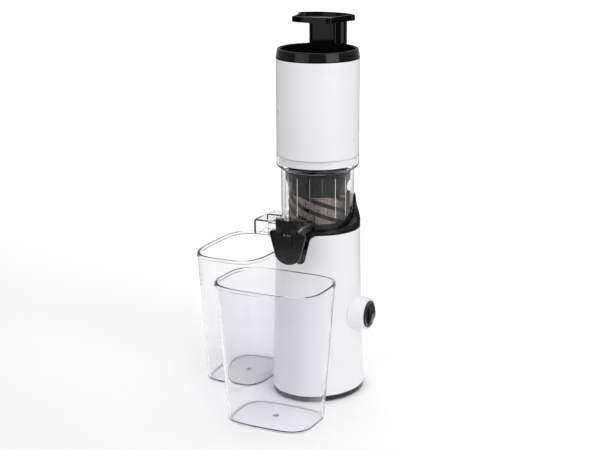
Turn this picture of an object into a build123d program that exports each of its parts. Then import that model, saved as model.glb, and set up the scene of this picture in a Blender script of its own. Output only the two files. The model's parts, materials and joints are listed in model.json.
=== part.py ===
"""Vertical slow juicer with two catch jugs.

Frame: origin at the centre of the base underside on the auger axis, +Z up.
The juice spout points along -Y, the pulp outlet along -X, the switch along +X.
"""
import math
import os

from build123d import *

os.makedirs("parts", exist_ok=True)

# Heights of the main levels
Z_COVER = 1.5
Z_SHELL = 7.2
Z_RIM = 195.0
Z_FIN = 230.6
Z_BOWL_FLOOR = 178.0
Z_DUCT = 187.5
Z_BOWL_TOP = 278.0
Z_HOPPER_TOP = 386.2
Z_RING_TOP = 397.0
Z_PUSHER_TOP = 432.3

# Main radii
R_RIM = 48.4
R_HOPPER = 46.5
R_BOWL = 41.2
R_STRAINER = 33.3
WALL = 2.6

# Body cross-sections: height, half width in X, half depth in Y, centre in Y
BODY = [(7.2, 51.8, 58.7, 2.8), (60.0, 50.2, 55.2, 1.8), (120.0, 49.0, 51.0, 0.8), (195.0, 48.4, 48.4, 0.0)]

# Gear train: two equal stages that bring the drive back onto the motor axis
MODULE = 0.75
PINION_TEETH = 11
WHEEL_TEETH = 50
GEAR_CENTRES = MODULE * (PINION_TEETH + WHEEL_TEETH) / 2
BACKLASH = 0.22

# Auger
AUGER_R = 30.3
AUGER_PITCH = 44.0
AUGER_STARTS = 2

# Strainer ribs
RIB_COUNT = 6
RIB_LEAD = 80.0
Z_WINDOW = (204.0, 234.5)

# Jug: half sizes at rim and floor, height, wall
JUG_RIM = (63.2, 44.0)
JUG_FLOOR = (50.3, 37.9)
JUG_H = 157.6
JUG_WALL = 2.2
JUICE_JUG_Y = -108.6
PULP_JUG_X = -95.5
PULP_JUG_Y = 3.9

# Spout
SPOUT_Y = -76.0
SPOUT_HINGE = (-75.0, 212.5)


def save(part, name):
    part.label = name
    export_step(part, "parts/" + name + ".step")


def oval_points(half_x, half_y, power, count=48):
    points = []
    for i in range(count):
        a = 2 * math.pi * i / count
        c = math.cos(a)
        s = math.sin(a)
        x = half_x * math.copysign(abs(c) ** (2 / power), c)
        y = half_y * math.copysign(abs(s) ** (2 / power), s)
        points.append((x, y))
    return points


def body_loft(inset, z_low, z_high):
    """Solid between two levels that follows the body's outer surface, moved in by inset."""
    with BuildPart() as solid:
        for z, half_x, half_y, centre in BODY:
            with BuildSketch(Plane.XY.offset(z)):
                with Locations((0, centre)):
                    Ellipse(half_x - inset, half_y - inset)
        loft()
        with BuildSketch(Plane.XY.offset(z_low)):
            Rectangle(160, 160)
        extrude(amount=z_high - z_low, mode=Mode.INTERSECT)
    return solid.part


def involute_gear(teeth, bore_r, height, z, turn, centre_y=0.0):
    """Spur gear with involute flanks; the first tooth points at angle turn, in degrees."""
    pitch_r = MODULE * teeth / 2
    base_r = pitch_r * math.cos(math.radians(20))
    tip_r = pitch_r + 0.9 * MODULE
    root_r = pitch_r - 1.2 * MODULE
    half_pitch_angle = math.pi / (2 * teeth) - BACKLASH / (2 * pitch_r)
    inv_pitch = math.tan(math.radians(20)) - math.radians(20)
    flank = []
    start_r = max(base_r, root_r + 0.05)
    for k in range(6):
        r = start_r + (tip_r - start_r) * k / 5
        phi = math.acos(base_r / r)
        flank.append((r, half_pitch_angle + inv_pitch - (math.tan(phi) - phi)))
    outline = []
    for i in range(teeth):
        mid = math.radians(turn) + 2 * math.pi * i / teeth
        outline.append((root_r, mid - flank[0][1] - 0.02))
        outline += [(r, mid - a) for r, a in flank]
        outline += [(r, mid + a) for r, a in reversed(flank)]
        outline.append((root_r, mid + flank[0][1] + 0.02))
    points = [(r * math.cos(a), r * math.sin(a) + centre_y) for r, a in outline]
    with BuildPart() as gear:
        with BuildSketch(Plane.XY.offset(z)):
            with BuildLine():
                Polyline(*points, close=True)
            make_face()
            with Locations((0, centre_y)):
                Circle(bore_r, mode=Mode.SUBTRACT)
        extrude(amount=height)
    return gear.part


# ---------------------------------------------------------------- body housing
outer_body = body_loft(0, Z_SHELL, Z_RIM)
inner_body = body_loft(WALL, Z_SHELL - 1, Z_RIM + 1)
ledge_core = body_loft(WALL - 0.4, 106, 110)
SCREW_POSTS = [(34, -26), (-34, -26), (34, 28), (-34, 28)]

with BuildPart() as body_housing:
    add(outer_body)
    add(inner_body, mode=Mode.SUBTRACT)
    add(ledge_core)
    with BuildSketch(Plane.XY.offset(105)):
        Circle(41)
    extrude(amount=6, mode=Mode.SUBTRACT)
    with BuildSketch(Plane.XY.offset(Z_SHELL)):
        with Locations(*SCREW_POSTS):
            Circle(4)
    extrude(amount=101)
    with BuildSketch(Plane.XY.offset(Z_SHELL)):
        with Locations(*SCREW_POSTS):
            Circle(1.8)
    extrude(amount=20, mode=Mode.SUBTRACT)
    # Round switch boss on the +X side
    with BuildSketch(Plane.YZ.offset(46)):
        with Locations((0, 96.8)):
            Circle(20.2)
    with BuildSketch(Plane.YZ.offset(64)):
        with Locations((0, 96.8)):
            Circle(18.2)
    loft()
    fillet(body_housing.faces().sort_by(Axis.X)[-1].edges(), 1.2)
    with BuildSketch(Plane.YZ.offset(40)):
        with Locations((0, 96.8)):
            Circle(14.2)
    extrude(amount=30, mode=Mode.SUBTRACT)
    # Juice notch, narrow and round at the bottom, flared at the rim
    with BuildSketch(Plane.XZ.offset(30)):
        with BuildLine():
            Line((-20, 197), (20, 197))
            Line((20, 197), (20, 194.6))
            ThreePointArc((20, 194.6), (14.2, 192.3), (11.6, 187))
            Line((11.6, 187), (6.9, 167.0))
            ThreePointArc((6.9, 167.0), (0, 161), (-6.9, 167.0))
            Line((-6.9, 167.0), (-11.6, 187))
            ThreePointArc((-11.6, 187), (-14.2, 192.3), (-20, 194.6))
            Line((-20, 194.6), (-20, 197))
        make_face()
    extrude(amount=30, mode=Mode.SUBTRACT)
    # Pulp notch on the -X side
    with BuildSketch(Plane.YZ.offset(-55)):
        with Locations((0, 187)):
            RectangleRounded(31, 24, 4)
    extrude(amount=15, mode=Mode.SUBTRACT)
    # Cord inlet low on the back
    with BuildSketch(Plane.XZ.offset(-50)):
        with Locations((0, 20)):
            Circle(6.2)
    extrude(amount=-15, mode=Mode.SUBTRACT)
save(body_housing.part, "body_housing")

# ---------------------------------------------------------------- bowl seat
with BuildPart() as bowl_seat:
    with BuildSketch(Plane.XZ):
        with BuildLine():
            Polyline((11.0, 166), (45.2, 166), (45.2, 195), (R_RIM, 195), (R_RIM, 203), (46.7, 211.4),
                     (44.4, 218.7), (42.8, Z_FIN), (42.0, Z_FIN), (42.0, 168), (11.0, 168), close=True)
        make_face()
    revolve(axis=Axis.Z)
    # The rim is low at the front and rises into a fin at the back
    with BuildSketch(Plane.YZ.offset(-60)):
        with BuildLine():
            Spline((-60, 198.0), (-30, 198.2), (-11, 201.5), (5, 209), (13, 222), (18, 240))
            Line((18, 240), (18, 250))
            Line((18, 250), (-60, 250))
            Line((-60, 250), (-60, 198.0))
        make_face()
    extrude(amount=120, mode=Mode.SUBTRACT)
seat_ring = bowl_seat.part

with BuildPart() as apron:
    # U-shaped lining that fills the juice notch flush with the body
    add(outer_body)
    with BuildSketch():
        Circle(44.6)
    extrude(amount=200, mode=Mode.SUBTRACT)
    with BuildSketch(Plane.XZ.offset(30)):
        with BuildLine():
            Line((-10, 195.4), (10, 195.4))
            Line((10, 195.4), (11.1, 187))
            Line((11.1, 187), (6.5, 167.2))
            ThreePointArc((6.5, 167.2), (0, 161.6), (-6.5, 167.2))
            Line((-6.5, 167.2), (-11.1, 187))
            Line((-11.1, 187), (-10, 195.4))
        make_face()
    extrude(amount=30, mode=Mode.INTERSECT)

with BuildPart() as collar:
    add(seat_ring)
    add(apron.part)
    with BuildSketch(Plane.XZ.offset(36)):
        with Locations((0, 184)):
            Circle(8.9)
        with Locations((0, 200)):
            Rectangle(17.8, 32)
    extrude(amount=20, mode=Mode.SUBTRACT)
    with BuildSketch(Plane.YZ.offset(-55)):
        with Locations((0, 210)):
            Rectangle(27.4, 70)
    extrude(amount=20, mode=Mode.SUBTRACT)
save(collar.part, "bowl_collar")

# ---------------------------------------------------------------- base
with BuildPart() as base_cover:
    with BuildSketch(Plane.XY.offset(Z_COVER)):
        with Locations((0, 2.8)):
            Ellipse(51.0, 57.9)
    extrude(amount=Z_SHELL - Z_COVER)
    with BuildSketch(Plane.XY.offset(4.0)):
        with Locations((0, 2.8)):
            Ellipse(46.5, 53.4)
    extrude(amount=10, mode=Mode.SUBTRACT)
    with BuildSketch(Plane.XY.offset(4.0)):
        with Locations(*SCREW_POSTS):
            Circle(4)
    extrude(amount=Z_SHELL - 4.0)
    with BuildSketch(Plane.XY.offset(Z_COVER)):
        with Locations(*SCREW_POSTS):
            Circle(1.8)
    extrude(amount=8, mode=Mode.SUBTRACT)
    with BuildSketch(Plane.XY.offset(Z_COVER)):
        with Locations(*SCREW_POSTS):
            Circle(3.2)
    extrude(amount=2.4, mode=Mode.SUBTRACT)
    # Air slots under the fan
    with BuildSketch(Plane.XY.offset(Z_COVER)):
        with PolarLocations(18, 12):
            SlotOverall(14, 2.6)
    extrude(amount=5, mode=Mode.SUBTRACT)
    # Rails that hold the control board
    with BuildSketch(Plane.XY.offset(4.0)):
        with Locations((-22.3, 41), (22.3, 41)):
            Rectangle(4, 6)
    extrude(amount=50)
save(base_cover.part, "base_cover")

with BuildPart() as foot_ring:
    with BuildSketch():
        with Locations((0, 2.8)):
            Ellipse(48.2, 55.1)
            Ellipse(43.2, 50.1, mode=Mode.SUBTRACT)
    extrude(amount=Z_COVER)
save(foot_ring.part, "foot_ring")

with BuildPart() as base_screws:
    with BuildSketch(Plane.XY.offset(1.9)):
        with Locations(*SCREW_POSTS):
            Circle(2.9)
    extrude(amount=2.0)
    with BuildSketch(Plane.XY.offset(3.9)):
        with Locations(*SCREW_POSTS):
            Circle(1.5)
    extrude(amount=20)
save(base_screws.part, "base_screws")

with BuildPart() as cord_bush:
    with BuildSketch(Plane.XZ.offset(-56)):
        with Locations((0, 20)):
            Circle(5.9)
            Circle(3.4, mode=Mode.SUBTRACT)
    extrude(amount=-6)
    with BuildSketch(Plane.XZ.offset(-61.9)):
        with Locations((0, 20)):
            Circle(8.0)
            Circle(3.4, mode=Mode.SUBTRACT)
    extrude(amount=-2)
save(cord_bush.part, "cord_bush")

# ---------------------------------------------------------------- controls
with BuildPart() as control_board:
    with BuildSketch(Plane.XZ.offset(-40.2)):
        with Locations((0, 30)):
            Rectangle(40, 52)
    extrude(amount=-1.6)
save(control_board.part, "control_board")

with BuildPart() as board_parts:
    with BuildSketch(Plane.XZ.offset(-41.8)):
        with Locations((-11, 24)):
            Rectangle(12, 14)
    extrude(amount=-7)
    with BuildSketch(Plane.XZ.offset(-41.8)):
        with Locations((9, 20)):
            Circle(5)
    extrude(amount=-8)
    with BuildSketch(Plane.XZ.offset(-41.8)):
        with Locations((9, 42)):
            Rectangle(14, 10)
    extrude(amount=-5)
save(board_parts.part, "board_parts")

with BuildPart() as switch_bezel:
    with BuildSketch(Plane.YZ.offset(64)):
        with Locations((0, 96.8)):
            Circle(15.4)
    extrude(amount=2.0)
    fillet(switch_bezel.edges().sort_by(Axis.X)[-1], 0.8)
    with BuildSketch(Plane.YZ.offset(45)):
        with Locations((0, 96.8)):
            Circle(13.6)
    extrude(amount=19)
    with BuildSketch(Plane.YZ.offset(50)):
        with Locations((0, 96.8)):
            RectangleRounded(13.4, 24.4, 2)
    extrude(amount=20, mode=Mode.SUBTRACT)
save(switch_bezel.part, "switch_bezel")

with BuildPart() as rocker:
    with BuildSketch(Plane.XZ.offset(-6)):
        with BuildLine():
            Polyline((58, 86.6), (66.2, 86.0))
            ThreePointArc((66.2, 86.0), (70.4, 96.8), (66.2, 107.6))
            Polyline((66.2, 107.6), (58, 107.0))
            ThreePointArc((58, 107.0), (54.5, 96.8), (58, 86.6))
        make_face()
        with Locations((59, 96.8)):
            Circle(1.6, mode=Mode.SUBTRACT)
    extrude(amount=12)
    fillet(rocker.edges().filter_by(GeomType.CIRCLE).sort_by(Axis.X)[-2:], 0.8)
save(rocker.part, "rocker")

with BuildPart() as rocker_pin:
    with BuildSketch(Plane.XZ.offset(-6.7)):
        with Locations((59, 96.8)):
            Circle(1.25)
    extrude(amount=13.4)
save(rocker_pin.part, "rocker_pin")

with BuildPart() as bowl_sensor:
    with BuildSketch(Plane.XY.offset(158)):
        with Locations((0, 34)):
            Rectangle(20, 6.5)
    extrude(amount=8)
save(bowl_sensor.part, "bowl_sensor")

# ---------------------------------------------------------------- motor
with BuildPart() as motor_can:
    with BuildSketch(Plane.XY.offset(40)):
        Circle(30)
        Circle(28.2, mode=Mode.SUBTRACT)
    extrude(amount=68)
    with BuildSketch(Plane.XY.offset(108)):
        Circle(30)
        Circle(7, mode=Mode.SUBTRACT)
    extrude(amount=2)
save(motor_can.part, "motor_can")

with BuildPart() as motor_magnets:
    with BuildSketch(Plane.XY.offset(54)):
        Circle(28.2)
        Circle(23.8, mode=Mode.SUBTRACT)
        Rectangle(12, 70, mode=Mode.SUBTRACT)
    extrude(amount=44)
save(motor_magnets.part, "motor_magnets")

with BuildPart() as motor_end_bell:
    with BuildSketch(Plane.XY.offset(37)):
        Circle(30)
        Circle(4.5, mode=Mode.SUBTRACT)
        with PolarLocations(18, 6):
            Circle(4, mode=Mode.SUBTRACT)
    extrude(amount=3)
save(motor_end_bell.part, "motor_end_bell")

with BuildPart() as motor_bushes:
    with BuildSketch(Plane.XY.offset(35)):
        Circle(4.5)
        Circle(2.56, mode=Mode.SUBTRACT)
    extrude(amount=6)
    with BuildSketch(Plane.XY.offset(106)):
        Circle(7)
        Circle(2.56, mode=Mode.SUBTRACT)
    extrude(amount=5)
save(motor_bushes.part, "motor_bushes")

with BuildPart() as rotor_core:
    with BuildSketch(Plane.XY.offset(56)):
        Circle(22.4)
        Circle(2.5, mode=Mode.SUBTRACT)
        with PolarLocations(18.4, 12):
            Circle(1.9, mode=Mode.SUBTRACT)
        with PolarLocations(21.6, 12):
            Rectangle(3.4, 1.6, mode=Mode.SUBTRACT)
    extrude(amount=40)
save(rotor_core.part, "rotor_core")

with BuildPart() as commutator:
    with BuildSketch(Plane.XY.offset(43)):
        Circle(9)
        Circle(2.5, mode=Mode.SUBTRACT)
        with PolarLocations(9, 12):
            Rectangle(2.4, 0.6, mode=Mode.SUBTRACT)
    extrude(amount=13)
save(commutator.part, "commutator")

with BuildPart() as brushes:
    with Locations((0, 0, 49)):
        Box(36, 5, 6)
        Box(18.8, 6, 7, mode=Mode.SUBTRACT)
    with Locations((0, 0, 43.5)):
        Box(36, 5, 5)
        Box(26, 6, 6, mode=Mode.SUBTRACT)
save(brushes.part, "motor_brushes")

with BuildPart() as motor_shaft:
    with BuildSketch(Plane.XY.offset(17)):
        Circle(2.5)
    extrude(amount=112)
save(motor_shaft.part, "motor_shaft")

with BuildPart() as cooling_fan:
    with BuildSketch(Plane.XY.offset(18)):
        Circle(7)
        Circle(2.5, mode=Mode.SUBTRACT)
    extrude(amount=13)
    with BuildSketch(Plane.XY.offset(29.5)):
        Circle(26)
        Circle(2.5, mode=Mode.SUBTRACT)
    extrude(amount=1.5)
    with BuildSketch(Plane.XY.offset(19)):
        with PolarLocations(15.8, 9):
            Rectangle(18.4, 1.4, rotation=25)
    extrude(amount=11)
save(cooling_fan.part, "cooling_fan")

# ---------------------------------------------------------------- gearbox
with BuildPart() as gearbox_base:
    with BuildSketch(Plane.XY.offset(110)):
        Circle(44.2)
        Circle(8, mode=Mode.SUBTRACT)
        with Locations((0, GEAR_CENTRES)):
            Circle(2.5, mode=Mode.SUBTRACT)
        with PolarLocations(42, 3, start_angle=30):
            Circle(1.7, mode=Mode.SUBTRACT)
    extrude(amount=4)
save(gearbox_base.part, "gearbox_base")

with BuildPart() as gearbox_cover:
    with BuildSketch(Plane.XY.offset(114)):
        with Locations((0, GEAR_CENTRES / 2)):
            SlotCenterToCenter(GEAR_CENTRES, 44, rotation=90)
    extrude(amount=39)
    with BuildSketch(Plane.XY.offset(114)):
        with Locations((0, GEAR_CENTRES / 2)):
            SlotCenterToCenter(GEAR_CENTRES, 40.4, rotation=90)
    extrude(amount=36, mode=Mode.SUBTRACT)
    with BuildSketch(Plane.XY.offset(153)):
        Circle(11)
    extrude(amount=10)
    with BuildSketch(Plane.XY.offset(140)):
        Circle(8)
    extrude(amount=30, mode=Mode.SUBTRACT)
    with BuildSketch(Plane.XY.offset(148)):
        with Locations((0, GEAR_CENTRES)):
            Circle(2.5)
    extrude(amount=4, mode=Mode.SUBTRACT)
save(gearbox_cover.part, "gearbox_cover")

with BuildPart() as output_bush:
    with BuildSketch(Plane.XY.offset(149)):
        Circle(8)
        Circle(5.06, mode=Mode.SUBTRACT)
    extrude(amount=14)
save(output_bush.part, "output_bush")

with BuildPart() as layshaft:
    with BuildSketch(Plane.XY.offset(110)):
        with Locations((0, GEAR_CENTRES)):
            Circle(2.5)
    extrude(amount=42)
save(layshaft.part, "layshaft")

wheel_gap = 270 + 180 / WHEEL_TEETH
motor_pinion = involute_gear(PINION_TEETH, 2.5, 9, 117.5, 90)
save(motor_pinion, "motor_pinion")

compound_wheel = involute_gear(WHEEL_TEETH, 2.56, 7.5, 118.5, wheel_gap, GEAR_CENTRES)
compound_pinion = involute_gear(PINION_TEETH, 2.56, 20, 126, 270, GEAR_CENTRES)
with BuildPart() as compound_gear:
    add(compound_wheel)
    add(compound_pinion)
save(compound_gear.part, "compound_gear")

output_gear = involute_gear(WHEEL_TEETH, 5.0, 9, 134, 90 + 180 / WHEEL_TEETH)
save(output_gear, "output_gear")

with BuildPart() as drive_shaft:
    with BuildSketch(Plane.XY.offset(132)):
        Circle(5)
    extrude(amount=44)
    with BuildSketch(Plane.XY.offset(176)):
        RegularPolygon(5.7, 6)
    extrude(amount=28)
    chamfer(drive_shaft.faces().sort_by(Axis.Z)[-1].edges(), 0.8)
save(drive_shaft.part, "drive_shaft")

with BuildPart() as shaft_seal:
    with BuildSketch(Plane.XY.offset(164)):
        Circle(10.9)
        Circle(5.6, mode=Mode.SUBTRACT)
    extrude(amount=3)
    with BuildSketch(Plane.XY.offset(168)):
        Circle(13)
        Circle(5.6, mode=Mode.SUBTRACT)
    extrude(amount=1.5)
    with BuildSketch(Plane.XY.offset(166)):
        Circle(10.9)
        Circle(5.6, mode=Mode.SUBTRACT)
    extrude(amount=2.5)
save(shaft_seal.part, "shaft_seal")

# ---------------------------------------------------------------- juicing bowl
with BuildPart() as juice_bowl:
    with BuildSketch(Plane.XZ):
        with BuildLine():
            Polyline((36, 168), (38.5, 168), (38.5, 174), (41.2, 176), (41.2, 262), (45.0, 265.2))
            Polyline((45.0, 265.2), (46.5, 267.5), (46.5, Z_BOWL_TOP), (44.2, Z_BOWL_TOP), (44.2, 267.5))
            Polyline((44.2, 267.5), (39.2, 264), (39.2, Z_BOWL_FLOOR), (10.5, Z_BOWL_FLOOR), (10.5, 190))
            Polyline((10.5, 190), (8.4, 190), (8.4, 176), (36, 176), (36, 168))
        make_face()
    revolve(axis=Axis.Z)
    # Spout with a wider hood where it leaves the bowl
    with BuildSketch(Plane.XZ.offset(30)):
        with Locations((0, 189.8)):
            SlotOverall(26.2, 16.4, rotation=90)
    extrude(amount=-SPOUT_Y - 30)
    with BuildSketch(Plane.XZ.offset(30)):
        with Locations((0, 207)):
            RectangleRounded(33, 12, 4)
    with BuildSketch(Plane.XZ.offset(66)):
        with Locations((0, 200.5)):
            RectangleRounded(17, 8, 3.8)
    loft()
    # Flange that the spout cap closes against
    with BuildSketch(Plane.XZ.offset(-SPOUT_Y - 2)):
        with BuildLine():
            Line((-16, 205), (16, 205))
            ThreePointArc((16, 205), (19.3, 203.6), (20, 200.5))
            Line((20, 200.5), (13.4, 178))
            ThreePointArc((13.4, 178), (0, 170.0), (-13.4, 178))
            Line((-13.4, 178), (-20, 200.5))
            ThreePointArc((-20, 200.5), (-19.3, 203.6), (-16, 205))
        make_face()
    extrude(amount=2)
    # Hinge ear over the spout
    with BuildSketch(Plane.YZ.offset(-5)):
        with BuildLine():
            Line((-76, 203.2), (-67.2, 200.4))
            Line((-67.2, 200.4), (-71.2, 213.8))
            ThreePointArc((-71.2, 213.8), (-75, 216.5), (-79, 212.5))
            Line((-79, 212.5), (-76, 203.2))
        make_face()
        with Locations(SPOUT_HINGE):
            Circle(1.7, mode=Mode.SUBTRACT)
    extrude(amount=10)
    # Hollow of the bowl and of the spout
    with BuildSketch(Plane.XY.offset(Z_BOWL_FLOOR)):
        Circle(39.2)
        Circle(20, mode=Mode.SUBTRACT)
    extrude(amount=84, mode=Mode.SUBTRACT)
    with BuildSketch(Plane.XZ.offset(34)):
        with Locations((0, 190.0)):
            SlotOverall(22.6, 12.8, rotation=90)
    extrude(amount=44, mode=Mode.SUBTRACT)
    with BuildSketch(Plane.XZ.offset(30)):
        with Locations((0, 207)):
            RectangleRounded(29.4, 8.4, 2.6)
    with BuildSketch(Plane.XZ.offset(66)):
        with Locations((0, 198.6)):
            RectangleRounded(11.6, 3.6, 1.4)
    loft(mode=Mode.SUBTRACT)
    # Thin ribs inside the wall
    with BuildSketch(Plane.XY.offset(212)):
        with PolarLocations(38.75, 16, start_angle=11):
            Rectangle(1.3, 1.4)
    extrude(amount=44)
    # Pulp duct from the strainer to the outlet
    with BuildSketch(Plane.YZ.offset(-57)):
        with Locations((0, Z_DUCT)):
            Rectangle(25.6, 14.0)
    extrude(amount=23.2)
    with BuildSketch(Plane.YZ.offset(-58)):
        with Locations((0, Z_DUCT)):
            Rectangle(22, 10.6)
    extrude(amount=26, mode=Mode.SUBTRACT)
save(juice_bowl.part, "juice_bowl")

with BuildPart() as bowl_gasket:
    with BuildSketch(Plane.XY.offset(180)):
        Circle(8.4)
        Circle(6.3, mode=Mode.SUBTRACT)
    extrude(amount=8)
save(bowl_gasket.part, "bowl_gasket")

with BuildPart() as bowl_magnet:
    with BuildSketch(Plane.XY.offset(173)):
        with Locations((0, 30)):
            Circle(4)
    extrude(amount=3)
save(bowl_magnet.part, "bowl_magnet")

with BuildPart() as pulp_outlet:
    with BuildSketch(Plane.YZ.offset(-74)):
        with Locations((0, 187.8)):
            RectangleRounded(30.4, 17.2, 3)
    extrude(amount=21.6)
    with BuildSketch(Plane.YZ.offset(-60)):
        with Locations((0, 199.3)):
            RectangleRounded(20, 8.2, 2.5)
    extrude(amount=18)
    # Hollow over the duct's end, its drop hole and the hollow of the upper box
    with Locations((-62, 0, Z_DUCT)):
        Box(21.2, 26.4, 14.4, mode=Mode.SUBTRACT)
    with Locations((-65.2, 0, 178)):
        Box(13.6, 25.6, 8, mode=Mode.SUBTRACT)
    with Locations((-51.1, 0, 199.3)):
        Box(15.4, 17.2, 5.6, mode=Mode.SUBTRACT)
    with Locations((-56.2, 0, 196)):
        Box(5.2, 17.2, 6, mode=Mode.SUBTRACT)
save(pulp_outlet.part, "pulp_outlet")

with BuildPart() as hinge_pin:
    with BuildSketch(Plane.YZ.offset(-11.6)):
        with Locations(SPOUT_HINGE):
            Circle(1.7)
    extrude(amount=23.2)
save(hinge_pin.part, "spout_hinge_pin")

# ---------------------------------------------------------------- spout cap
with BuildPart() as spout_cap:
    with BuildSketch(Plane.XZ.offset(-SPOUT_Y + 0.4)):
        with BuildLine():
            Line((-17, 206.4), (17, 206.4))
            ThreePointArc((17, 206.4), (20.9, 204.8), (21.6, 201))
            Line((21.6, 201), (14.8, 177))
            ThreePointArc((14.8, 177), (0, 168.5), (-14.8, 177))
            Line((-14.8, 177), (-21.6, 201))
            ThreePointArc((-21.6, 201), (-20.9, 204.8), (-17, 206.4))
        make_face()
    extrude(amount=2.6)
    fillet(spout_cap.faces().sort_by(Axis.Y)[0].edges(), 1.0)
    # Raised finger pad, wide to the left, with a lip at the bottom
    with BuildSketch(Plane.XZ.offset(-SPOUT_Y + 2.9)):
        with BuildLine():
            Polyline((-17.8, 203.0), (5.5, 203.0), (5.5, 188.0), (-14.4, 188.0), close=True)
        make_face()
    extrude(amount=1.9)
    with BuildSketch(Plane.XZ.offset(-SPOUT_Y + 2.9)):
        with BuildLine():
            Line((-11.5, 177.4), (11.5, 177.4))
            ThreePointArc((11.5, 177.4), (0, 171.4), (-11.5, 177.4))
        make_face()
    extrude(amount=1.3)
    # Knuckles and lever block
    with BuildSketch(Plane.YZ.offset(-12)):
        with BuildLine():
            Line((-79, 205), (-76.6, 205))
            Line((-76.6, 205), (-71, 212.5))
            ThreePointArc((-71, 212.5), (-72.2, 215.4), (-75, 216.5))
            Line((-75, 216.5), (-75, 219.4))
            Line((-75, 219.4), (-81.4, 219.4))
            Line((-81.4, 219.4), (-82.4, 205))
            Line((-82.4, 205), (-79, 205))
        make_face()
        with Locations(SPOUT_HINGE):
            Circle(2.1, mode=Mode.SUBTRACT)
    extrude(amount=24)
    with Locations((0, -77, 212)):
        Box(10.8, 16, 22, mode=Mode.SUBTRACT)
    with BuildSketch(Plane.XZ.offset(80.2)):
        with Locations((0, 211.6)):
            Rectangle(23.6, 15.6)
    extrude(amount=1.8)
save(spout_cap.part, "spout_cap")

with BuildPart() as cap_seal:
    with BuildSketch(Plane.XZ.offset(72.5)):
        with Locations((0, 189.5)):
            SlotOverall(21.2, 11.2, rotation=90)
            SlotOverall(15, 5, rotation=90, mode=Mode.SUBTRACT)
    extrude(amount=-SPOUT_Y + 0.4 - 72.5)
save(cap_seal.part, "spout_cap_seal")

# ---------------------------------------------------------------- strainer
with BuildPart() as strainer_frame:
    with BuildSketch(Plane.XZ):
        with BuildLine():
            Polyline((31.3, 178), (R_STRAINER, 178), (R_STRAINER, Z_WINDOW[0]), (32.2, Z_WINDOW[0]),
                     (32.2, 199), (31.3, 199), close=True)
        make_face()
    revolve(axis=Axis.Z)
    with BuildSketch(Plane.XZ):
        with BuildLine():
            Polyline((32.2, Z_WINDOW[1]), (R_STRAINER, Z_WINDOW[1]), (R_STRAINER, 240), (34.6, 246),
                     (36.8, 250), (36.8, 259), (34.3, 261), (31.3, 261), (31.3, 240), (32.2, 240), close=True)
        make_face()
    revolve(axis=Axis.Z)
    for i in range(RIB_COUNT):
        start = Vector(32.8, 0, 201).rotate(Axis.Z, i * 360 / RIB_COUNT)
        with BuildLine() as rib_path:
            Helix(RIB_LEAD, 36, 32.8, center=(0, 0, 201), lefthand=True)
        turned = rib_path.line.rotate(Axis.Z, i * 360 / RIB_COUNT)
        radial = Vector(1, 0, 0).rotate(Axis.Z, i * 360 / RIB_COUNT)
        with BuildSketch(Plane(origin=start, x_dir=radial, z_dir=turned % 0)):
            Rectangle(0.9, 4.2)
        sweep(path=turned, is_frenet=True)
    # Small teeth along both edges of the window
    with BuildSketch(Plane.XY.offset(Z_WINDOW[1])):
        with PolarLocations(R_STRAINER, 48):
            Rectangle(1.2, 2.0)
    extrude(amount=1.4, mode=Mode.SUBTRACT)
    with BuildSketch(Plane.XY.offset(Z_WINDOW[0])):
        with PolarLocations(R_STRAINER, 48):
            Rectangle(1.2, 2.0)
    extrude(amount=-1.4, mode=Mode.SUBTRACT)
    # Pulp port
    with BuildSketch(Plane.YZ.offset(-36)):
        with Locations((0, Z_DUCT)):
            Rectangle(22, 10.6)
    extrude(amount=8, mode=Mode.SUBTRACT)
save(strainer_frame.part, "strainer_frame")

with BuildPart() as strainer_mesh:
    with BuildSketch(Plane.XY.offset(199)):
        Circle(31.9)
        Circle(31.4, mode=Mode.SUBTRACT)
    extrude(amount=41)
    for row in range(3):
        with Locations((0, 0, 210.5 + row * 8.5)):
            with PolarLocations(31.65, 20, start_angle=row * 9):
                Box(3, 1.0, 6, mode=Mode.SUBTRACT)
save(strainer_mesh.part, "strainer_mesh")

# ---------------------------------------------------------------- auger
with BuildPart() as auger_core:
    with BuildSketch(Plane.XZ):
        with BuildLine():
            Polyline((11.6, 178.5), (27.5, 178.5), (27.5, 181), (22, 186), (14.5, 222), (10, 250),
                     (9, 258), (5, 261), (0, 261), (0, 206), (8, 206), (8, 192), (11.6, 192), close=True)
        make_face()
    revolve(axis=Axis.Z)

with BuildPart() as auger:
    add(auger_core.part)
    for i in range(AUGER_STARTS):
        turn = 11 + i * 360 / AUGER_STARTS
        start = Vector(19.4, 0, 187).rotate(Axis.Z, turn)
        with BuildLine() as flight_path:
            Helix(AUGER_PITCH, 60, 19.4, center=(0, 0, 187), lefthand=True)
        turned = flight_path.line.rotate(Axis.Z, turn)
        radial = Vector(1, 0, 0).rotate(Axis.Z, turn)
        with BuildSketch(Plane(origin=start, x_dir=radial, z_dir=turned % 0)):
            Rectangle(2 * (AUGER_R - 19.4), 3.4)
        sweep(path=turned, is_frenet=True)
    with BuildSketch(Plane.XY.offset(178)):
        Circle(11.6)
    extrude(amount=14, mode=Mode.SUBTRACT)
save(auger.part, "auger")

with BuildPart() as auger_socket:
    with BuildSketch(Plane.XY.offset(192)):
        Circle(8)
        RegularPolygon(6.1, 6, mode=Mode.SUBTRACT)
    extrude(amount=14)
save(auger_socket.part, "auger_socket")

with BuildPart() as auger_pin:
    with BuildSketch(Plane.XY.offset(261)):
        Circle(4)
    extrude(amount=15)
    fillet(auger_pin.faces().sort_by(Axis.Z)[-1].edges(), 1.2)
save(auger_pin.part, "auger_pin")

# ---------------------------------------------------------------- pusher and hopper
STEM_FRONT = 13.0
STEM_BACK = 36.0


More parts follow.
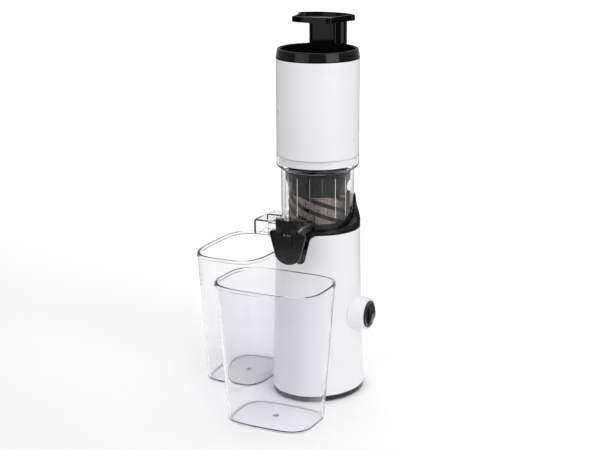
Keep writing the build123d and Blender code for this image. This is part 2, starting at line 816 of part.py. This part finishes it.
def stem_sketch(z, grow):
    """Feed-chute outline: flat front, fluted flanks, rounded wide back."""
    with BuildSketch(Plane.XY.offset(z)) as outline:
        with BuildLine():
            Line((-12.5, STEM_FRONT), (12.5, STEM_FRONT))
            ThreePointArc((12.5, STEM_FRONT), (14.9, 14.1), (15.8, 16.4))
            ThreePointArc((15.8, 16.4), (18.0, 21.6), (21.4, 24.6))
            ThreePointArc((21.4, 24.6), (22.9, 26.8), (22.0, 28.8))
            ThreePointArc((22.0, 28.8), (0, STEM_BACK), (-22.0, 28.8))
            ThreePointArc((-22.0, 28.8), (-22.9, 26.8), (-21.4, 24.6))
            ThreePointArc((-21.4, 24.6), (-18.0, 21.6), (-15.8, 16.4))
            ThreePointArc((-15.8, 16.4), (-14.9, 14.1), (-12.5, STEM_FRONT))
        make_face()
        if grow:
            offset(amount=grow, kind=Kind.ARC)
    return outline.sketch


with BuildPart() as pusher_stem:
    add(stem_sketch(305, 0))
    extrude(amount=426 - 305)
    add(stem_sketch(307.5, -2.4))
    extrude(amount=426 - 307.5, mode=Mode.SUBTRACT)
save(pusher_stem.part, "pusher_stem")


def cap_sketch(z, grow):
    with BuildSketch(Plane.XY.offset(z)) as outline:
        with BuildLine():
            ThreePointArc((-21.0, -17.6), (0, -20.0), (21.0, -17.6))
            ThreePointArc((21.0, -17.6), (23.4, -16.4), (24.2, -14.0))
            ThreePointArc((24.2, -14.0), (26.6, 3.0), (32.6, 18.5))
            ThreePointArc((32.6, 18.5), (34.2, 23.5), (31.0, 27.0))
            ThreePointArc((31.0, 27.0), (0, 38.2), (-31.0, 27.0))
            ThreePointArc((-31.0, 27.0), (-34.2, 23.5), (-32.6, 18.5))
            ThreePointArc((-32.6, 18.5), (-26.6, 3.0), (-24.2, -14.0))
            ThreePointArc((-24.2, -14.0), (-23.4, -16.4), (-21.0, -17.6))
        make_face()
        if grow:
            offset(amount=grow, kind=Kind.ARC)
    return outline.sketch


with BuildPart() as pusher_cap:
    add(cap_sketch(426, -0.5))
    extrude(amount=Z_PUSHER_TOP - 426)
    add(cap_sketch(426.5, 0))
    extrude(amount=Z_PUSHER_TOP - 427.0)
    add(cap_sketch(429.6, -2.4))
    extrude(amount=10, mode=Mode.SUBTRACT)
save(pusher_cap.part, "pusher_cap")

with BuildPart() as hopper_tube:
    with BuildSketch(Plane.XZ):
        with BuildLine():
            Polyline((41.4, 269), (43.6, 269), (43.6, 278), (45.9, 278), (R_HOPPER, 278.6), (R_HOPPER, Z_HOPPER_TOP),
                     (44.1, Z_HOPPER_TOP), (44.1, 281), (0, 281), (0, 278.6), (41.4, 278.6), close=True)
        make_face()
    revolve(axis=Axis.Z)
    with BuildSketch(Plane.XY.offset(270)):
        Circle(8)
    extrude(amount=11)
    with BuildSketch(Plane.XY.offset(268)):
        Circle(6)
    extrude(amount=9.5, mode=Mode.SUBTRACT)
    add(stem_sketch(275, 1.2))
    extrude(amount=10, mode=Mode.SUBTRACT)
save(hopper_tube.part, "hopper_tube")

with BuildPart() as auger_bush:
    with BuildSketch(Plane.XY.offset(269)):
        Circle(6)
        Circle(4.08, mode=Mode.SUBTRACT)
    extrude(amount=8.5)
save(auger_bush.part, "auger_bush")

with BuildPart() as feed_funnel:
    with BuildSketch(Plane.XZ):
        with BuildLine():
            Line((R_HOPPER, Z_HOPPER_TOP), (R_HOPPER, 387.6))
            Line((R_HOPPER, 387.6), (45.0, 396.0))
            ThreePointArc((45.0, 396.0), (44.5, 396.8), (43.8, 397))
            Line((43.8, 397), (42.9, 397))
            ThreePointArc((42.9, 397), (42.0, 396.6), (41.6, 395.6))
            Line((41.6, 395.6), (40.2, 378))
            Line((40.2, 378), (0, 369))
            Line((0, 369), (0, 366.6))
            Line((0, 366.6), (42.4, 376))
            Line((42.4, 376), (43.8, Z_HOPPER_TOP))
            Line((43.8, Z_HOPPER_TOP), (R_HOPPER, Z_HOPPER_TOP))
        make_face()
    revolve(axis=Axis.Z)
    add(stem_sketch(283, 3.0))
    extrude(amount=88)
    add(stem_sketch(280, 1.0))
    extrude(amount=110, mode=Mode.SUBTRACT)
save(feed_funnel.part, "feed_funnel")


# ---------------------------------------------------------------- jugs
def jug_section(z, half_x, half_y):
    with BuildSketch(Plane.XY.offset(z)) as section:
        with BuildLine():
            Spline(*oval_points(half_x, half_y, 3.6), periodic=True)
        make_face()
    return section.sketch


def make_jug():
    """Open tapered cup, long side along X, standing on z = 0 about the origin."""
    slope_x = (JUG_RIM[0] - JUG_FLOOR[0]) / JUG_H
    slope_y = (JUG_RIM[1] - JUG_FLOOR[1]) / JUG_H
    with BuildPart() as jug:
        add(jug_section(0, JUG_FLOOR[0] - 1.6, JUG_FLOOR[1] - 1.6))
        add(jug_section(1.6, JUG_FLOOR[0], JUG_FLOOR[1]))
        loft(ruled=True)
        add(jug_section(1.6, JUG_FLOOR[0], JUG_FLOOR[1]))
        add(jug_section(JUG_H, JUG_RIM[0] - 0.6, JUG_RIM[1] - 0.6))
        loft(ruled=True)
        add(jug_section(JUG_H - 4, JUG_RIM[0] - 0.6 - 4 * slope_x, JUG_RIM[1] - 0.6 - 4 * slope_y))
        add(jug_section(JUG_H - 3, JUG_RIM[0], JUG_RIM[1]))
        add(jug_section(JUG_H, JUG_RIM[0], JUG_RIM[1]))
        loft(ruled=True)
        add(jug_section(3.0, JUG_FLOOR[0] - JUG_WALL, JUG_FLOOR[1] - JUG_WALL))
        add(jug_section(JUG_H + 1, JUG_RIM[0] - JUG_WALL - 0.6, JUG_RIM[1] - JUG_WALL - 0.6))
        loft(ruled=True, mode=Mode.SUBTRACT)
        # Hollow underside that leaves a standing rim
        add(jug_section(0, JUG_FLOOR[0] - 5, JUG_FLOOR[1] - 5))
        extrude(amount=0.8, mode=Mode.SUBTRACT)
    return jug.part


jug_shape = make_jug()
save(jug_shape.moved(Location((0, JUICE_JUG_Y, 0))), "juice_jug")
save(jug_shape.moved(Location((PULP_JUG_X, PULP_JUG_Y, 0), (0, 0, 90))), "pulp_jug")
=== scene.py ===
"""Looks of the vertical slow juicer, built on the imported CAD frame.

Every CAD node keeps its shape and gets a node-based material by its slot. The jugs each
gain a small gate mark on the floor. A pale floor, soft studio light and the camera follow.
Lengths are in metres.
"""
import json
import math

import bmesh
import bpy
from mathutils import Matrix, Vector


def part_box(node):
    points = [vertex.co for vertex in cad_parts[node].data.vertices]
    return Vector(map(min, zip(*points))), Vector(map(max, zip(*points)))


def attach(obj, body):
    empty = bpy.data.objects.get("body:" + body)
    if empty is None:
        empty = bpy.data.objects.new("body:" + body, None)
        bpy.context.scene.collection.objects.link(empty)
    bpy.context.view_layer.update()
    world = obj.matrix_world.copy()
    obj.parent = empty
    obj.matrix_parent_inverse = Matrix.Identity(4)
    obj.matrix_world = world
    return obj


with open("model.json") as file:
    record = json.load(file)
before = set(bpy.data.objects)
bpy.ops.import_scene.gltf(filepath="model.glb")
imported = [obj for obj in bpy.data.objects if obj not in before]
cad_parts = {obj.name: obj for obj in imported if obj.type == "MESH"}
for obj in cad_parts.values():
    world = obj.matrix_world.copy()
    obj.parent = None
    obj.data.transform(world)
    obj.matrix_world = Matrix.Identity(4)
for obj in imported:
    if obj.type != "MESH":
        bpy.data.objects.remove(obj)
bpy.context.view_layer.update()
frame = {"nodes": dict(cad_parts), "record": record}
nodes = frame["nodes"]

# Strainer sheet: holes in one turn, and the height from one row of holes to the next
HOLES_AROUND = 124
HOLE_PITCH = 0.0016
HOLE_COLOUR = (0.02, 0.018, 0.016)

# Depth of the fine grain on moulded plastic
GRAIN_DEPTH = 0.00002

# Gate mark: (radius, height) from its foot to its tip, just clear of the jug's floor
GATE_PROFILE = (
    (0.0034, 0.0),
    (0.0033, 0.0004),
    (0.0024, 0.0006),
    (0.0018, 0.0004),
    (0.0011, 0.0005),
    (0.0, 0.0009),
)
GATE_SIDES = 32
JUG_FLOOR_TOP = 0.00302

FLOOR_HALF = 6.0
FLAG_INNER, FLAG_OUTER = 0.42, 5.0
FLAG_SIDES = 48
FLAG_HEIGHT = 0.002

CAMERA_PLACE = (0.6363, -1.3572, 0.6052)
CAMERA_PITCH_DOWN = 15.32
CAMERA_ROLL = 0.2
CAMERA_TURN = 25.84
LENS_MM = 81.75
SENSOR_MM = 36


# ---------------------------------------------------------------- material nodes
def new_material(name):
    mat = bpy.data.materials.new(name)
    mat.use_nodes = True
    tree = mat.node_tree
    shader = next(n for n in tree.nodes if n.type == "BSDF_PRINCIPLED")
    return mat, tree, shader


def object_coords(tree, scale=(1, 1, 1)):
    coords = tree.nodes.new("ShaderNodeTexCoord")
    mapping = tree.nodes.new("ShaderNodeMapping")
    mapping.inputs["Scale"].default_value = scale
    tree.links.new(coords.outputs["Object"], mapping.inputs["Vector"])
    return mapping.outputs["Vector"]


def noise(tree, vector, scale, detail=3.0):
    node = tree.nodes.new("ShaderNodeTexNoise")
    node.inputs["Scale"].default_value = scale
    node.inputs["Detail"].default_value = detail
    tree.links.new(vector, node.inputs["Vector"])
    return node.outputs["Fac"]


def spread(tree, value, low, high):
    """A value from 0 to 1, mapped to low to high."""
    node = tree.nodes.new("ShaderNodeMapRange")
    node.inputs["To Min"].default_value = low
    node.inputs["To Max"].default_value = high
    tree.links.new(value, node.inputs["Value"])
    return node.outputs["Result"]


def two_tone(tree, value, low, high, edges=(0.35, 0.65)):
    """One colour below the first edge, another above the second, a blend between."""
    ramp = tree.nodes.new("ShaderNodeValToRGB")
    first, second = ramp.color_ramp.elements
    first.position, second.position = edges
    first.color = (*low, 1)
    second.color = (*high, 1)
    tree.links.new(value, ramp.inputs["Fac"])
    return ramp.outputs["Color"]


def bump(tree, shader, height, strength, distance):
    node = tree.nodes.new("ShaderNodeBump")
    node.inputs["Strength"].default_value = strength
    node.inputs["Distance"].default_value = distance
    tree.links.new(height, node.inputs["Height"])
    tree.links.new(node.outputs["Normal"], shader.inputs["Normal"])


# ---------------------------------------------------------------- materials
def plastic(name, colour, rough, grain=900.0, vary=0.02, spec=0.5):
    """Moulded plastic: faint colour drift, uneven gloss and a fine moulded grain."""
    mat, tree, shader = new_material(name)
    vector = object_coords(tree)
    drift = noise(tree, vector, scale=14.0)
    low = tuple(c * (1 - vary) for c in colour)
    high = tuple(min(1.0, c * (1 + vary)) for c in colour)
    tree.links.new(two_tone(tree, drift, low, high), shader.inputs["Base Color"])
    smear = noise(tree, vector, scale=45.0)
    gloss = spread(tree, smear, low=rough * 0.8, high=rough * 1.2)
    tree.links.new(gloss, shader.inputs["Roughness"])
    fine = noise(tree, vector, scale=grain, detail=2.0)
    bump(tree, shader, fine, strength=0.25, distance=GRAIN_DEPTH)
    shader.inputs["Specular IOR Level"].default_value = spec
    return mat


def clear(name, colour, rough, ior):
    """Clear plastic that lets lamp light through to what is inside."""
    mat, tree, shader = new_material(name)
    shader.inputs["Base Color"].default_value = (*colour, 1)
    shader.inputs["Transmission Weight"].default_value = 1.0
    shader.inputs["IOR"].default_value = ior
    vector = object_coords(tree)
    flow = noise(tree, vector, scale=22.0, detail=2.0)
    gloss = spread(tree, flow, low=rough * 0.6, high=rough * 1.6)
    tree.links.new(gloss, shader.inputs["Roughness"])
    bump(tree, shader, flow, strength=0.06, distance=0.0006)
    path = tree.nodes.new("ShaderNodeLightPath")
    through = tree.nodes.new("ShaderNodeBsdfTransparent")
    through.inputs["Color"].default_value = (*colour, 1)
    mix = tree.nodes.new("ShaderNodeMixShader")
    surface = next(n for n in tree.nodes if n.type == "OUTPUT_MATERIAL")
    tree.links.new(path.outputs["Is Shadow Ray"], mix.inputs["Fac"])
    tree.links.new(shader.outputs["BSDF"], mix.inputs[1])
    tree.links.new(through.outputs["BSDF"], mix.inputs[2])
    tree.links.new(mix.outputs["Shader"], surface.inputs["Surface"])
    return mat


def metal(name, colour, rough, stretch=(1, 1, 1), scale=300.0):
    """Metal with a fine uneven finish; stretch squeezes the pattern along an axis."""
    mat, tree, shader = new_material(name)
    vector = object_coords(tree, stretch)
    lines = noise(tree, vector, scale)
    low = tuple(c * 0.86 for c in colour)
    tree.links.new(two_tone(tree, lines, low, colour), shader.inputs["Base Color"])
    gloss = spread(tree, lines, low=rough * 0.7, high=rough * 1.3)
    tree.links.new(gloss, shader.inputs["Roughness"])
    shader.inputs["Metallic"].default_value = 1.0
    bump(tree, shader, lines, strength=0.2, distance=0.00003)
    return mat


def perforated(name, colour, rough):
    """Steel sheet rolled to a tube about Z, with rows of small round holes."""
    mat, tree, shader = new_material(name)
    coords = tree.nodes.new("ShaderNodeTexCoord")
    axes = tree.nodes.new("ShaderNodeSeparateXYZ")
    tree.links.new(coords.outputs["Object"], axes.inputs["Vector"])

    def math_node(operation, first, second=None):
        node = tree.nodes.new("ShaderNodeMath")
        node.operation = operation
        for socket, value in zip(node.inputs, (first, second)):
            if isinstance(value, (int, float)):
                socket.default_value = value
            elif value is not None:
                tree.links.new(value, socket)
        return node.outputs["Value"]

    angle = math_node("ARCTAN2", axes.outputs["Y"], axes.outputs["X"])
    around = math_node("SINE", math_node("MULTIPLY", angle, HOLES_AROUND / 2))
    up = math_node("SINE", math_node("MULTIPLY", axes.outputs["Z"], math.pi / HOLE_PITCH))
    dots = math_node("ABSOLUTE", math_node("MULTIPLY", around, up))
    sheet = two_tone(tree, dots, colour, HOLE_COLOUR, edges=(0.45, 0.62))
    tree.links.new(sheet, shader.inputs["Base Color"])
    stain = noise(tree, coords.outputs["Object"], scale=160.0)
    gloss = spread(tree, stain, low=rough * 0.7, high=rough * 1.3)
    tree.links.new(gloss, shader.inputs["Roughness"])
    shader.inputs["Metallic"].default_value = 0.85
    sunk = math_node("MULTIPLY", dots, -1.0)
    bump(tree, shader, sunk, strength=0.4, distance=0.0002)
    return mat


def matte(name, grey, rough):
    """Even grey with no gloss, for the stage."""
    mat, _, shader = new_material(name)
    shader.inputs["Base Color"].default_value = (grey, grey, grey, 1)
    shader.inputs["Roughness"].default_value = rough
    shader.inputs["Specular IOR Level"].default_value = 0.0
    return mat


PLATED = metal("plated_steel", (0.55, 0.56, 0.58), 0.35, scale=120.0)
NYLON = plastic("black_nylon", (0.03, 0.03, 0.033), 0.5)
RUBBER = plastic("black_rubber", (0.016, 0.016, 0.016), 0.7, grain=2500.0)
CLEAR_OUTLET = clear("clear_outlet_plastic", (0.985, 0.985, 0.988), 0.03, ior=1.22)
FROSTED = clear("frosted_plastic", (0.80, 0.80, 0.84), 0.3, ior=1.46)

# The material of each slot in the record
LOOKS = {
    "white_shell": plastic("white_plastic", (0.80, 0.80, 0.815), 0.30),
    "black_gloss": plastic(
        "black_gloss_plastic", (0.003, 0.003, 0.0033), 0.07, vary=0.1, spec=0.26
    ),
    "black_satin": plastic("black_satin_plastic", (0.009, 0.009, 0.0095), 0.27, vary=0.15),
    "auger_black": plastic("auger_plastic", (0.012, 0.011, 0.010), 0.42, vary=0.2, spec=0.3),
    "clear_bowl": clear("clear_bowl_plastic", (0.97, 0.972, 0.975), 0.02, ior=1.38),
    "clear_jug": clear("clear_jug_plastic", (0.962, 0.960, 0.974), 0.02, ior=1.32),
    "mesh_steel": perforated("mesh_steel", (0.30, 0.262, 0.235), 0.42),
    "shaft_steel": metal("ground_steel", (0.62, 0.62, 0.63), 0.25, stretch=(1, 1, 14)),
    "motor_steel": PLATED,
    "screw_steel": PLATED,
    "magnet_grey": plastic("ferrite", (0.05, 0.05, 0.055), 0.6),
    "copper": metal("copper", (0.70, 0.36, 0.22), 0.3, stretch=(1, 1, 10)),
    "bush_bronze": metal("sintered_bronze", (0.50, 0.33, 0.17), 0.5, scale=900.0),
    "gear_plastic": plastic("acetal", (0.74, 0.71, 0.62), 0.4),
    "gear_case": NYLON,
    "board_green": plastic("board_green", (0.02, 0.12, 0.05), 0.45, vary=0.2),
    "board_black": NYLON,
    "silicone_grey": plastic("grey_silicone", (0.32, 0.32, 0.33), 0.5),
    "silicone_black": RUBBER,
    "foot_rubber": RUBBER,
}

slot_of = {s["node"]: s["material_slot"] for s in frame["record"]["subparts"]}
for node_name, obj in nodes.items():
    # The pulp outlet shares the bowl's slot, but looks thinner and clearer than the bowl
    look = CLEAR_OUTLET if node_name == "pulp_outlet" else LOOKS[slot_of[node_name]]
    obj.data.materials.clear()
    obj.data.materials.append(look)


# ---------------------------------------------------------------- mesh helpers
def add_object(name, data):
    obj = bpy.data.objects.new(name, data)
    bpy.context.scene.collection.objects.link(obj)
    return obj


def add_loop(build, sides, radius, height, centre=(0.0, 0.0)):
    """A level circle of points."""
    loop = []
    for k in range(sides):
        angle = k * math.pi / (sides / 2)
        x = centre[0] + radius * math.cos(angle)
        y = centre[1] + radius * math.sin(angle)
        loop.append(build.verts.new((x, y, height)))
    return loop


def add_band(build, first, second):
    """Faces between two loops with the same number of points."""
    sides = len(first)
    for k in range(sides):
        after = (k + 1) % sides
        build.faces.new((first[k], first[after], second[after], second[k]))


# ---------------------------------------------------------------- gate marks
def gate_mark(name, jug, body):
    """Low ring and tip where the plastic entered the middle of a jug's floor."""
    low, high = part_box(jug)
    centre = ((low[0] + high[0]) / 2, (low[1] + high[1]) / 2)
    build = bmesh.new()
    loops = [
        add_loop(build, GATE_SIDES, radius, JUG_FLOOR_TOP + height, centre)
        for radius, height in GATE_PROFILE[:-1]
    ]
    tip = build.verts.new((*centre, JUG_FLOOR_TOP + GATE_PROFILE[-1][1]))
    for lower, upper in zip(loops, loops[1:]):
        add_band(build, lower, upper)
    foot, last = loops[0], loops[-1]
    for k in range(GATE_SIDES):
        build.faces.new((last[k], last[(k + 1) % GATE_SIDES], tip))
    build.faces.new(list(reversed(foot)))
    mesh = bpy.data.meshes.new(name)
    build.to_mesh(mesh)
    build.free()
    mesh.polygons.foreach_set("use_smooth", [True] * len(mesh.polygons))
    mesh.materials.append(FROSTED)
    mark = add_object(name, mesh)
    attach(mark, body)


gate_mark("juice_jug_gate_mark", "juice_jug", "juice_jug")
gate_mark("pulp_jug_gate_mark", "pulp_jug", "pulp_jug")

# ---------------------------------------------------------------- stage
floor_mesh = bpy.data.meshes.new("floor")
floor_corners = [(-1, -1), (1, -1), (1, 1), (-1, 1)]
floor_mesh.from_pydata(
    [(x * FLOOR_HALF, y * FLOOR_HALF, 0) for x, y in floor_corners], [], [(0, 1, 2, 3)]
)
floor_mesh.materials.append(matte("pale_floor", grey=0.93, rough=0.9))
floor = add_object("floor", floor_mesh)

# Dark ring on the floor, well clear of the juicer, that only shows in reflections
flag_mesh = bpy.data.meshes.new("flag")
flag_build = bmesh.new()
add_band(
    flag_build,
    add_loop(flag_build, FLAG_SIDES, FLAG_INNER, FLAG_HEIGHT),
    add_loop(flag_build, FLAG_SIDES, FLAG_OUTER, FLAG_HEIGHT),
)
flag_build.to_mesh(flag_mesh)
flag_build.free()
flag_mesh.materials.append(matte("dark_flag", grey=0.02, rough=1.0))
flag = add_object("flag", flag_mesh)
flag.visible_camera = False
flag.visible_diffuse = False
flag.visible_transmission = False
flag.visible_shadow = False

# ---------------------------------------------------------------- light
# White surroundings, brighter from above than from the sides
world = bpy.data.worlds.new("studio")
bpy.context.scene.world = world
world.use_nodes = True
world_tree = world.node_tree
sky = world_tree.nodes["Background"]
sky.inputs["Color"].default_value = (1, 1, 1, 1)
direction = world_tree.nodes.new("ShaderNodeTexCoord")
parts = world_tree.nodes.new("ShaderNodeSeparateXYZ")
climb = world_tree.nodes.new("ShaderNodeMapRange")
climb.inputs["From Min"].default_value = 0.15
climb.inputs["From Max"].default_value = 0.85
climb.inputs["To Min"].default_value = 0.32
climb.inputs["To Max"].default_value = 0.62
world_tree.links.new(direction.outputs["Generated"], parts.inputs["Vector"])
world_tree.links.new(parts.outputs["Z"], climb.inputs["Value"])
world_tree.links.new(climb.outputs["Result"], sky.inputs["Strength"])


def softbox(name, place, aim, size, watts, beam):
    """Rectangular lamp at place, turned to aim, with its beam's angle in degrees."""
    data = bpy.data.lights.new(name, "AREA")
    data.shape = "RECTANGLE"
    data.size, data.size_y = size
    data.energy = watts
    data.spread = math.radians(beam)
    lamp = add_object(name, data)
    lamp.location = place
    lamp.rotation_euler = (Vector(aim) - Vector(place)).to_track_quat("-Z", "Y").to_euler()


JUICER_MIDDLE = (0, 0, 0.3)
softbox(
    "left_box", (-0.45, -1.22, 0.77), JUICER_MIDDLE, size=(1.0, 1.5), watts=2.05, beam=100
)
softbox(
    "right_box", (1.19, -0.53, 0.77), JUICER_MIDDLE, size=(0.9, 1.5), watts=3.7, beam=100
)
softbox("overhead", (0, 3.3, 2.6), (0, 3.3, 0), size=(9, 6.4), watts=128.0, beam=90)

# ---------------------------------------------------------------- camera
camera_data = bpy.data.cameras.new("camera")
camera_data.lens = LENS_MM
camera_data.sensor_width = SENSOR_MM
camera = add_object("camera", camera_data)
camera.location = CAMERA_PLACE
camera.rotation_euler = (
    math.radians(90 - CAMERA_PITCH_DOWN),
    math.radians(CAMERA_ROLL),
    math.radians(CAMERA_TURN),
)
bpy.context.scene.camera = camera
bpy.context.scene.view_settings.view_transform = "Standard"
